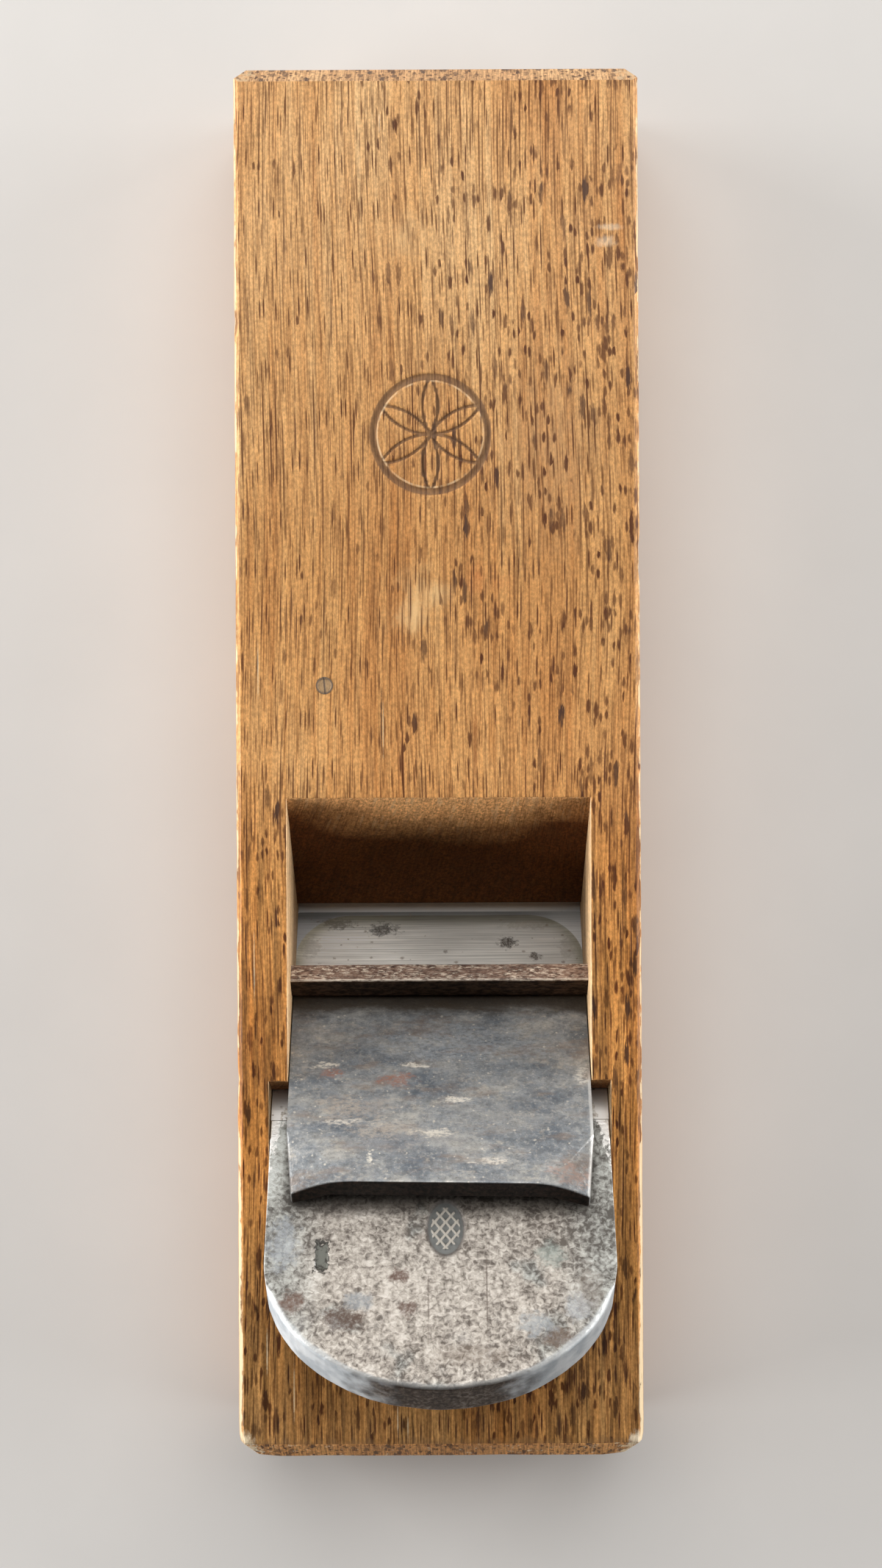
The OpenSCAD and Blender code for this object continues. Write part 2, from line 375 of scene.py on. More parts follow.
makeEffect("oakGrain", {"Coords": "Vector", "Stain Cover": "Float"},
           ("Streaks", "Broad", "Fibres", "Pores", "Stains", "Stain Hue"), oakGrain)
makeEffect("softSpot", {"Coords": "Vector", "Centre": "Vector", "Radii": "Vector", "Fray": "Float",
                        "Fray Size": "Vector", "Core": "Float"}, ("Mask",), softSpot)
makeEffect("blotches", {"Coords": "Vector", "Size": "Vector", "Cover": "Float", "Softness": "Float"},
           ("Mask",), blotches)
makeEffect("pits", {"Coords": "Vector", "Spacing": "Vector", "Width": "Float", "Cover": "Float"},
           ("Mask",), pits)


def patched(coords, colour, look):
    # lays frayed spots over a colour, broken up as by a dry brush where brush is above 0, and gives the new
    # colour and how much of it each spot covers
    covers = []
    broken = None
    if look["brush"]:
        bristles = coords.clouds([part * 0.35 for part in look["fraySize"]], 4, 0.7)
        broken = bristles.spread(0.4, 0.56, 1 - look["brush"], 1.0)
    for centre, radii, strength, tone in look["spots"]:
        spot = {"Centre": (*centre, look["level"]), "Radii": (*radii, look["reach"]), "Fray": look["fray"],
                "Fray Size": look["fraySize"], "Core": look["core"]}
        amount = coords.effect("softSpot", spot)["Mask"] * strength
        if broken:
            amount = amount * broken
        colour = colour.painted(tone, amount)
        covers.append(amount)
    return colour, covers


print("shared effects ready")


# the stage: pale floor, soft lights, camera over the plane

studio = {
    "floor": 3.0,
    "floorColour": (0.62, 0.61, 0.60),
    "floorShade": 0.97,
    "ambient": (0.015, 0.015, 0.016),
    "cameraPlace": (0.5, -4.3, 476),
    "cameraTurn": -0.26,
    "lens": 51.24,
    "sensor": 36,
    # name, place in metres, aim, size in metres, watts, colour
    "lights": (
        ("toeLight", (0.0, 0.55, 0.80), (0, 0, 0.03), (1.0, 0.85), 8.2, (1.0, 0.98, 0.95)),
        ("leftStrip", (-0.8, 0.05, 0.185), (0, 0.02, 0.04), (0.9, 0.24), 13.0, (1.0, 0.98, 0.95)),
        ("rightStrip", (0.8, 0.05, 0.185), (0, 0.02, 0.04), (0.9, 0.24), 9.5, (1.0, 0.98, 0.95)),
    ),
}


def setStage():
    scene = bpy.context.scene
    scene.view_settings.view_transform = "Standard"
    bpy.ops.mesh.primitive_grid_add(x_subdivisions=4, y_subdivisions=4, size=studio["floor"])
    floor = bpy.context.object
    floor.name = "pale_floor"
    material, coords = newMaterial("paleFloor", blockFrame)
    pale = studio["floorColour"]
    shade = [part * studio["floorShade"] for part in pale]
    colour = coords.clouds((30, 30, 30), 4).ramp((0.3, shade), (0.7, pale))
    floor.data.materials.append(finished(material, {"Base Color": colour, "Roughness": 0.9}))
    world = bpy.data.worlds.new("studioWorld")
    world.use_nodes = True
    world.node_tree.nodes["Background"].inputs["Color"].default_value = (*studio["ambient"], 1)
    scene.world = world
    for name, place, aim, size, watts, colour in studio["lights"]:
        lamp = bpy.data.lights.new(name, "AREA")
        lamp.shape = "RECTANGLE"
        lamp.size, lamp.size_y = size
        lamp.energy = watts
        lamp.color = colour
        holder = bpy.data.objects.new(name, lamp)
        holder.location = place
        holder.rotation_mode = "QUATERNION"
        holder.rotation_quaternion = (Vector(place) - Vector(aim)).to_track_quat("Z", "Y")
        holder.visible_camera = False
        scene.collection.objects.link(holder)
    lens = bpy.data.cameras.new("overheadCamera")
    lens.lens = studio["lens"]
    lens.sensor_width = studio["sensor"]
    camera = bpy.data.objects.new("overheadCamera", lens)
    camera.location = Vector(studio["cameraPlace"]) * mm
    camera.rotation_euler = (0, 0, math.radians(studio["cameraTurn"]))
    scene.collection.objects.link(camera)
    scene.camera = camera


setStage()
print("stage ready")


# the oak block

scratch = (0.84, 0.68, 0.45)
bruise = (0.85, 0.74, 0.58)
oak = {
    "half": (40, 137.5),
    "top": 36,
    "rim": 3.5,
    "arris": 0.25,
    "throatArris": 0.22,
    # axis, first cut, last cut, step
    "slices": ((1, -135, 135, 2.5), (0, -36, 36, 4.0), (2, 4.5, 31.5, 4.5)),
    "throat": {"half": 33.9, "inner": 33.8, "back": -95, "front": -6.5, "brow": 35.9, "foot": 0.35},
    "endsPast": 134.4,
    "wear": 0.16,
    "wearReach": 2.6,
    # centre, radius, depth, push direction
    "dents": (
        ((40, 41.5, 35.2), 2.6, 0.5, (-1, 0, -0.7)),
        ((40, 37.2, 35.4), 2.0, 0.35, (-1, 0, -0.7)),
        ((-40, 88, 35.3), 2.2, 0.25, (1, 0, -0.7)),
        ((-40, -62, 35.2), 3.0, 0.3, (1, 0, -0.7)),
        ((38.5, -136.5, 34), 5.0, 0.8, (-1, 1, -0.6)),
        ((-38.5, -136.5, 34), 5.0, 0.9, (1, 1, -0.6)),
        ((37, -137.5, 35), 4.0, 0.4, (0, 1, -1)),
        ((12, -137.5, 27), 9.0, 0.35, (0, 1, 0)),
        ((-9, -137.5, 22), 10.0, 0.4, (0, 1, 0)),
        ((-22, -137.5, 28), 8.0, 0.3, (0, 1, 0)),
        ((25, -137.5, 19), 8.0, 0.3, (0, 1, 0)),
    ),
    "rosette": {"centre": (-1.3, 64.7), "radius": 11.35, "ring": 1.45, "petals": 6, "petal": 0.8,
                "petalSpread": 1.15, "depth": 0.32, "margin": 3.2, "cuts": 9, "stained": (13.2, 12.8),
                "highlightRadius": 10.5},
    # each spot: centre, radii, strength, colour
    "patches": {
        "level": 36, "reach": 9, "fray": 2.0, "fraySize": (2.6, 5, 4), "core": -0.2, "brush": 0.0,
        "spots": (
            ((-6.0, 103.9), (6.0, 8.0), 0.4, (0.76, 0.53, 0.29)),
            ((-5.0, 29.2), (4.4, 5.0), 0.75, (0.86, 0.63, 0.38)),
            ((-1.2, 33.4), (6.4, 3.8), 0.6, (0.84, 0.61, 0.36)),
            ((-5.0, 36.6), (5.0, 4.6), 0.35, (0.78, 0.55, 0.31)),
            ((-4.6, 31.0), (11, 12), 0.25, (0.76, 0.53, 0.29)),
            ((7.8, 36.6), (2.8, 4.2), 0.32, (0.60, 0.17, 0.06)),
            ((12.6, 35.4), (3.6, 2.4), 0.22, (0.60, 0.20, 0.08)),
            ((22.0, 60.0), (17, 30), 0.4, (0.45, 0.29, 0.17)),
            ((7.2, 3.0), (0.8, 12.0), 0.7, (0.30, 0.10, 0.03)),
            ((10.5, 4.0), (1.2, 8.0), 0.4, (0.62, 0.26, 0.07)),
        ),
    },
    "marks": {
        "level": 36, "reach": 5, "fray": 1.5, "fraySize": (0.9, 1.6, 1), "core": 0.3, "brush": 0.0,
        "spots": (
            ((-11.2, 8.1), (0.22, 9.5), 0.9, (0.06, 0.03, 0.02)),
            ((-10.85, 6.5), (0.16, 7.0), 0.6, (0.80, 0.62, 0.38)),
            ((34.2, 105.4), (3.4, 0.9), 0.3, bruise),
            ((33.4, 102.6), (2.6, 1.5), 0.28, bruise),
            ((-35.5, 18.0), (0.2, 7.0), 0.4, scratch),
            ((-34.3, -116.0), (0.2, 6.0), 0.6, scratch),
            ((-29.0, -124.0), (0.2, 7.0), 0.5, scratch),
            ((-8.6, -130.0), (0.2, 3.6), 0.6, scratch),
            ((-6.6, -131.0), (0.2, 3.0), 0.5, scratch),
            ((-36.5, -40.0), (0.2, 8.0), 0.4, scratch),
            ((-11.1, 126.4), (0.12, 2.4), 0.6, bruise),
        ),
    },
    "wornCorners": {
        "level": 35.4, "reach": 4, "fray": 1.5, "fraySize": (0.9, 1.6, 1), "core": 0.3, "brush": 0.0,
        "spots": (
            ((-38.4, -134.8), (2.0, 3.6), 0.85, (0.86, 0.72, 0.50)),
            ((38.6, -134.4), (2.0, 3.2), 0.85, (0.86, 0.74, 0.56)),
        ),
    },
}


def inThroat(point):
    throat = oak["throat"]
    return abs(point[0]) < throat["half"] and throat["back"] < point[1] < throat["front"]


def rosetteDepth(point):
    look = oak["rosette"]
    radius, ring, petal = look["radius"], look["ring"], look["petal"]
    spot = Vector((point[0] - look["centre"][0], point[1] - look["centre"][1]))
    if spot.length > radius + 2:
        return 0
    cut = fade(abs(spot.length - radius), ring * 0.62, ring * 0.25)
    if spot.length < radius:
        for index in range(look["petals"]):
            turn = math.radians(30 + 360 / look["petals"] * index)
            around = Vector((math.cos(turn), math.sin(turn))) * radius
            line = abs((spot - around).length - radius) * look["petalSpread"]
            cut = max(cut, fade(line, petal * 0.62, petal * 0.2))
    return look["depth"] * cut


def wornWood(point):
    # eases the edges unevenly, pushes the dents in and sinks the rosette
    top = oak["top"]
    limits = (*oak["half"], top / 2)
    centred = Vector((point.x, point.y, point.z - top / 2))
    near = [max(0, 1 - (limit - abs(part)) / oak["wearReach"]) for part, limit in zip(centred, limits)]
    pull = Vector([-math.copysign(amount, part) for amount, part in zip(near, centred)])
    edge = max(near[0] * near[1], near[1] * near[2], near[0] * near[2])
    if edge > 0 and point.z > 3:
        worn = 0.5 + 0.8 * grain(point, (4, 7, 4)) + 0.7 * grain(point, (2, 2.4, 2), 9)
        point += pull.normalized() * oak["wear"] * edge * max(0, worn)
    for centre, radius, depth, push in oak["dents"]:
        gap = (point - Vector(centre)).length / radius
        if gap < 1:
            point += Vector(push).normalized() * depth * (1 - gap * gap) ** 2
    if point.z > top - 0.02 and not inThroat(point):
        point.z -= 0.05 + 0.05 * grain(point, (18, 40, 9), 4) + rosetteDepth(point)
    return point


def buildBlock():
    piece = cadCopy("body_block", "oak_block")
    halfX, halfY = oak["half"]
    top, rim, rosette = oak["top"], oak["rim"], oak["rosette"]
    reach = rosette["radius"] + rosette["margin"]

    def outside(point):
        return abs(point.x) > halfX - rim or abs(point.y) > halfY - rim

    def underRosette(middle):
        offset = [abs(part - centre) for part, centre in zip(middle, rosette["centre"])]
        return max(offset) < reach and middle.z > top - 0.01

    bevelWhere(piece, lambda a, b: outside(a) and outside(b) and min(a.z, b.z) > 1
               and not (inThroat(a) and inThroat(b)), oak["arris"])
    bevelWhere(piece, lambda a, b: min(a.z, b.z) > top - 0.02 and inThroat(a) and inThroat(b),
               oak["throatArris"], 2)
    sliceAcross(piece, oak["slices"])
    subdivideWhere(piece, underRosette, rosette["cuts"])
    reshape(piece, wornWood)
    smoothAll(piece, 40)
    return piece


oakBlock = buildBlock()
print("oak block modelled,", len(oakBlock.data.polygons), "faces")


# oak finishes

oiledOak = {
    "pale": (0.675, 0.430, 0.215),
    "mid": (0.62, 0.346, 0.146),
    "deep": (0.485, 0.222, 0.076),
    "stain": ((0.088, 0.028, 0.010), (0.068, 0.034, 0.024)),
    "pore": (0.082, 0.022, 0.004),
    "stainStrength": 1.0,
    "poreStrength": 0.97,
    "fibre": (0.8, 1.16),
    "texture": (0.8, 1.22),
    # tint along the block from the toe to the heel, where hands have darkened it, with painted shade towards
    # the heel behind the blade's head
    "handledAndShaded": ((0.0, (1.05, 1.05, 1.03)), (0.12, (1.0, 0.99, 0.95)), (0.36, (0.9, 0.82, 0.67)),
                (0.5, (1.0, 0.92, 0.78)), (0.57, (0.80, 0.65, 0.44)), (0.78, (0.75, 0.60, 0.38)),
                (1.0, (0.57, 0.50, 0.37))),
}
# order says which of the block's axes run across the grain, along it and into the wood
plainOak = {
    "order": "zyx", "short": 1.0, "tight": 1.0, "fan": 1.0, "lowCover": 1.0, "gloss": 0.4,
    "darkBelow": 12, "heelTint": (1.0, 1.0, 1.0), "corners": 0.0, "notchShade": None, "cornerWearAndLight": 0.0,
}
sideOak = {
    **plainOak, "stainCover": 0.7, "bumps": 0.08,
    "pale": (0.60, 0.335, 0.145), "mid": (0.50, 0.26, 0.102), "deep": (0.38, 0.18, 0.065),
    "stain": ((0.70, 0.46, 0.23), (0.60, 0.38, 0.18)), "pore": (0.16, 0.07, 0.03),
    "stainStrength": 0.4, "poreStrength": 0.75, "fibre": (0.78, 1.2), "shine": (0.42, 0.6),
    "texture": (0.85, 1.15), "low": (0.85, 0.83, 0.8), "heelTint": (0.85, 0.78, 0.7), "gloss": 0.5,
}
endOak = {
    **plainOak, "stainCover": 1.3, "bumps": 0.1,
    "pale": (0.80, 0.505, 0.265), "mid": (0.66, 0.385, 0.19), "deep": (0.44, 0.235, 0.11),
    "stain": ((0.10, 0.05, 0.035), (0.09, 0.062, 0.055)), "pore": (0.11, 0.05, 0.025),
    "stainStrength": 0.95, "poreStrength": 0.7, "fibre": (0.68, 1.25), "shine": (0.5, 0.72),
    "texture": (0.75, 1.28), "low": (0.8, 0.78, 0.74), "heelTint": (1.0, 0.82, 0.56), "darkBelow": 30,
    "order": "xz0", "short": 7.0, "tight": 0.75, "lowCover": 0.35, "cornerWearAndLight": 0.8,
}
cutOak = {
    **plainOak, "stainCover": 0.6, "bumps": 0.1,
    "pale": (0.98, 0.74, 0.45), "mid": (0.88, 0.61, 0.34), "deep": (0.62, 0.385, 0.19),
    "stain": ((0.62, 0.42, 0.22), (0.20, 0.11, 0.06)), "pore": (0.16, 0.07, 0.03),
    "stainStrength": 0.5, "poreStrength": 0.8, "fibre": (0.75, 1.2), "shine": (0.55, 0.75),
    "texture": (0.75, 1.28), "low": (0.6, 0.55, 0.5),
}
# the front wall is painted with shade: much darker below darkBelow, darker in its corners where the cheeks
# cast shadow, and darker at the notch
wallOak = {
    **plainOak, "stainCover": 0.9, "bumps": 0.12,
    "pale": (0.72, 0.395, 0.165), "mid": (0.59, 0.305, 0.12), "deep": (0.44, 0.21, 0.075),
    "stain": ((0.78, 0.52, 0.28), (0.16, 0.085, 0.045)), "pore": (0.10, 0.045, 0.02),
    "stainStrength": 0.45, "poreStrength": 0.32, "fibre": (0.68, 1.45), "shine": (0.8, 0.9),
    "texture": (0.74, 1.3), "low": (0.13, 0.085, 0.05), "darkBelow": 34, "corners": 6.0,
    "order": "xzz", "short": 1.4, "tight": 0.7, "fan": -1.0, "gloss": 0.12, "notchShade": (0.3, 0.24, 0.2),
}


def bareOak(coords, look, stainCover):
    # gives the grain's values, and the wood's colour before its pores and stains
    grains = coords.effect("oakGrain", {"Stain Cover": stainCover})
    tone = grains["Broad"] * 0.5 + grains["Streaks"] * 0.5
    colour = tone.ramp((0.32, look["deep"]), (0.5, look["mid"]), (0.68, look["pale"]))
    colour = colour.dimmed(grains["Fibres"].spread(0.3, 0.7, *look["fibre"]))
    texture = coords.clouds((0.5, 0.9, 0.6), 3, 0.65)
    return grains, colour.dimmed(texture.spread(0.34, 0.66, *look["texture"]))


def grainedOak(grains, colour, look):
    pores = grains["Pores"] * look["poreStrength"]
    colour = colour.painted(look["pore"], pores)
    stain = grains["Stain Hue"].between(*look["stain"])
    return colour.painted(stain, grains["Stains"] * look["stainStrength"]), pores


def topOakMaterial():
    look = oiledOak
    material, coords = newMaterial("oiledOak", blockFrame)
    x, y, z = coords.split()
    # stains crowd a slanting band on the right, and the cheeks
    right = (x + y * 0.12).spread(-4, 22)
    cheeks = y.spread(0, -30) * x.spread(-36, 36, 1.0, 1.5)
    cover = right.most(cheeks) * 0.75 + 0.3
    cover = cover * coords.clouds((10, 24, 22), 3).spread(0.34, 0.6, 0.15, 1.15)
    grains, colour = bareOak(coords, look, cover)
    colour, _ = patched(coords, colour, oak["patches"])
    colour, pores = grainedOak(grains, colour, look)
    along = (oak["half"][1] - y) * (0.5 / oak["half"][1])
    # darkened by hands, and painted shade towards the heel
    colour = colour.tinted(along.ramp(*look["handledAndShaded"]))
    uneven = coords.clouds((1.5, 34, 6), 5, 0.7).spread(0.38, 0.62, 0.64, 1.42)
    colour = colour.painted(colour.dimmed(uneven), y.spread(0, -28))
    for spots in ("marks", "wornCorners"):
        colour, _ = patched(coords, colour, oak[spots])
    # paler along the long edges, worn and with a painted highlight, darker at the heel's brink
    rubbed = coords.clouds((2, 6, 2), 4, 0.6)
    reach = y.spread(-40, -120, 39.75, 39.25) + rubbed.spread(0.35, 0.6, 0.2, -0.3)
    edge = (abs(x) - reach).spread(0.0, 0.25) * z.spread(34.0, 34.6)
    colour = colour.painted((0.72, 0.58, 0.37), edge * 0.85)
    brink = (y + rubbed.spread(0.3, 0.7, -0.9, 0.9)).spread(-133.0, -134.4)
    colour = colour.painted((0.20, 0.11, 0.05), brink * 0.45)
    # the rosette's cuts are dark, and its ring has a painted highlight along its inner edge
    rosette = oak["rosette"]
    away = (coords - (*rosette["centre"], oak["top"])).length()
    pressed = z.spread(35.92, 35.72) * away.spread(*rosette["stained"])
    colour = colour.painted((0.13, 0.07, 0.04), pressed * 0.72)
    ringHighlight = abs(away - rosette["highlightRadius"]).spread(0.26, 0.1) * rubbed.spread(0.38, 0.58, 0.05, 0.5)
    colour = colour.painted((0.78, 0.58, 0.36), ringHighlight)
    shine = coords.clouds((7, 16, 7), 3)
    looks = {"Base Color": colour, "Specular IOR Level": 0.2, "Roughness": shine.spread(0.3, 0.7, 0.42, 0.62)}
    return finished(material, looks, pores * -0.05 + grains["Fibres"] * 0.03)


def plainOakMaterial(name, look):
    material, coords = newMaterial(name, blockFrame)
    x, y, z = coords.split()
    axes = {"x": x, "y": y, "z": z, "0": 0.0}
    across, along, into = [axes[letter] for letter in look["order"]]
    turned = across.joined(along * look["short"], into * look["fan"]) * (look["tight"], look["tight"], 1)
    stainCover = look["stainCover"]
    grains, colour = bareOak(turned, look, z.spread(30, 34, stainCover * look["lowCover"], stainCover))
    colour, pores = grainedOak(grains, colour, look)
    # painted shade: each face darker towards its bottom below darkBelow, and on the front wall also down its
    # corners, where the cheeks cast shadow
    corner = abs(x).spread(12, 30, 0, -look["corners"]) * y.spread(-45, -38)
    drift = coords.clouds((14, 14, 7), 3).spread(0.3, 0.7, -1.5, 1.5) + corner
    shade = (z + drift).spread(look["darkBelow"], look["darkBelow"] - 12)
    colour = colour.painted(colour.tinted(look["low"]), shade)
    # darker towards the heel, painted shade
    colour = y.spread(-100, 100).between(colour.tinted(look["heelTint"]), colour)
    # painted shade on the wall at the notch, below its top edge
    if look["notchShade"]:
        deep = y.spread(-45, -55) * z.spread(36, 31, 0.6, 1.0)
        colour = colour.painted(colour.tinted(look["notchShade"]), deep)
    # cream worn corners, made paler towards the heel as painted light where little light reaches
    if look["cornerWearAndLight"]:
        atHeel = y.spread(100, -100)
        wear = coords.clouds((1.6, 1.2, 1.2), 4, 0.65) + abs(x).spread(33, 39, -0.12, 0.12)
        wear = wear + atHeel * 0.07 + z.spread(22, 33, -0.2, 0.0)
        worn = atHeel.between((0.66, 0.46, 0.27), (0.95, 0.78, 0.54))
        colour = colour.painted(worn, wear.spread(0.54, 0.64, 0.0, look["cornerWearAndLight"]))
    looks = {"Base Color": colour, "Specular IOR Level": look["gloss"],
             "Roughness": grains["Broad"].spread(0.3, 0.7, *look["shine"])}
    return finished(material, looks, pores * -look["bumps"] + grains["Fibres"] * (look["bumps"] * 0.5))


def dressBlock(piece):
    top, side, end, cut, wall = range(5)
    piece.data.materials.append(topOakMaterial())
    for name, look in (("sideOak", sideOak), ("endOak", endOak), ("cutOak", cutOak), ("wallOak", wallOak)):
        piece.data.materials.append(plainOakMaterial(name, look))
    throat = oak["throat"]
    for face in piece.data.polygons:
        middle = face.center / mm
        hidden = middle.z <= throat["foot"] and face.normal.z <= -0.9
        face.material_index = top
        if inThroat(middle) and abs(middle.x) < throat["inner"] and middle.z < throat["brow"] and not hidden:
            face.material_index = cut if abs(face.normal.x) > 0.7 else wall
        elif abs(middle.y) > oak["endsPast"] and abs(face.normal.y) > 0.3:
            face.material_index = end
        elif abs(face.normal.x) > 0.9:
            face.material_index = side


dressBlock(oakBlock)
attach(oakBlock, "body")
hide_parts("body_block")
print("oak block finished")


# the peg in the top

peg = {"centre": (-22.4, 15.2, 36), "rim": 0.3, "slope": 0.15, "sink": 0.14, "darkFrom": (1.15, 1.45),
       "crack": (0.22, 0.08)}


def buildPeg():
    piece = cadCopy("body_peg", "top_peg")
    pick(piece, "FACE", lambda face: face.normal.z > 0.9)
    bpy.ops.mesh.inset(thickness=peg["rim"] * mm, depth=0)
    bpy.ops.mesh.inset(thickness=peg["slope"] * mm, depth=-peg["sink"] * mm)
    backToObject()
    smoothAll(piece, 30)
    return piece


def pegMaterial():
    # end grain with a dark rim and a crack across it
    material, coords = newMaterial("pegWood", blockFrame)
    x, y, _ = (coords - peg["centre"]).split()
    rings = coords.clouds((0.3, 0.5, 5), 3)
    colour = rings.ramp((0.3, (0.30, 0.185, 0.09)), (0.7, (0.50, 0.32, 0.16)))
    rim = x.joined(y, 0.0).length().spread(*peg["darkFrom"])
    colour = colour.painted((0.11, 0.075, 0.05), rim * 0.85)
    crack = abs(x + y * 0.1).spread(*peg["crack"])
    colour = colour.painted((0.06, 0.04, 0.03), crack * 0.8)
    looks = {"Base Color": colour, "Roughness": rings.spread(0.3, 0.7, 0.6, 0.8)}
    return finished(material, looks, crack * -0.3)


topPeg = buildPeg()
topPeg.data.materials.append(pegMaterial())
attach(topPeg, "body")
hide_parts("body_peg")


# the retaining pin

# middle is in the block's frame, heelward and crown are two of its sides in the blade's frame
pin = {"arris": 0.35, "slices": ((0, -38, 38, 2.0),), "wear": 0.1, "bare": 30, "middle": (-43.93, 23.56),
       "heelward": 26.15, "crown": -12.37}


def wornPin(point):
    if abs(point.x) >= pin["bare"]:
        return None
    worn = pin["wear"] * (0.3 + 0.5 * grain(point, (5, 3, 3), 2) + 0.4 * grain(point, (1.8, 2, 2), 7))
    centre = Vector((point.x, *pin["middle"]))
    return point + (centre - point).normalized() * max(0, worn)


def buildPin():
    piece = cadCopy("retaining_pin", "cross_pin")
    bevelWhere(piece, lambda a, b: True, pin["arris"], 3)
    sliceAcross(piece, pin["slices"])
    reshape(piece, wornPin)
    smoothAll(piece, 40)
    return piece


def pinMaterial():
    # brown patina on top, a painted highlight along its top edge towards the heel, and dark rust with painted
    # shade on the side towards the heel
    material, coords = newMaterial("rustyPin", bladeFrame)
    _, y, z = coords.split()
    heelward, crown = pin["heelward"], pin["crown"]
    mottle = coords.clouds((1.6, 0.6, 0.6), 5, 0.62)
    colour = mottle.ramp((0.36, (0.055, 0.026, 0.018)), (0.5, (0.15, 0.085, 0.058)),
                         (0.62, (0.26, 0.17, 0.125)))
    scuffs = coords.effect("blotches", {"Size": (1.2, 0.24, 0.4), "Cover": 0.48, "Softness": 0.06})["Mask"]
    scuffed = scuffs * coords.clouds((6.0, 0.9, 0.9), 4, 0.66).spread(0.4, 0.56, 0.15, 0.9)
    colour = colour.painted((0.76, 0.67, 0.555), scuffed)
    # dark rust and painted shade on the side towards the heel
    heelRustAndShade = y.spread(heelward - 0.14, heelward - 0.06) * z.spread(crown + 0.25, crown + 0.45)
    shade = mottle.ramp((0.42, (0.010, 0.005, 0.003)), (0.6, (0.05, 0.028, 0.016)))
    colour = colour.painted(shade, heelRustAndShade * 0.97)
    # painted highlight along the top edge towards the heel
    rubbed = y.spread(heelward - 0.5, heelward - 0.36) * z.spread(crown + 0.32, crown + 0.2)
    rubbed = rubbed * mottle.spread(0.38, 0.56, 0.2, 1.0)
    colour = colour.painted((0.66, 0.60, 0.52), rubbed * 0.72)
    looks = {"Base Color": colour, "Metallic": scuffed.most(rubbed) * 0.6,
             "Specular IOR Level": heelRustAndShade.spread(0, 1, 0.5, 0.15),
             "Roughness": mottle.spread(0.3, 0.7, 0.75, 0.5)}
    return finished(material, looks, mottle * 0.1)


crossPin = buildPin()
crossPin.data.materials.append(pinMaterial())
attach(crossPin, "body")
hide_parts("retaining_pin")
print("peg and pin finished")


# the blade: iron body, then the hollow-ground steel facing

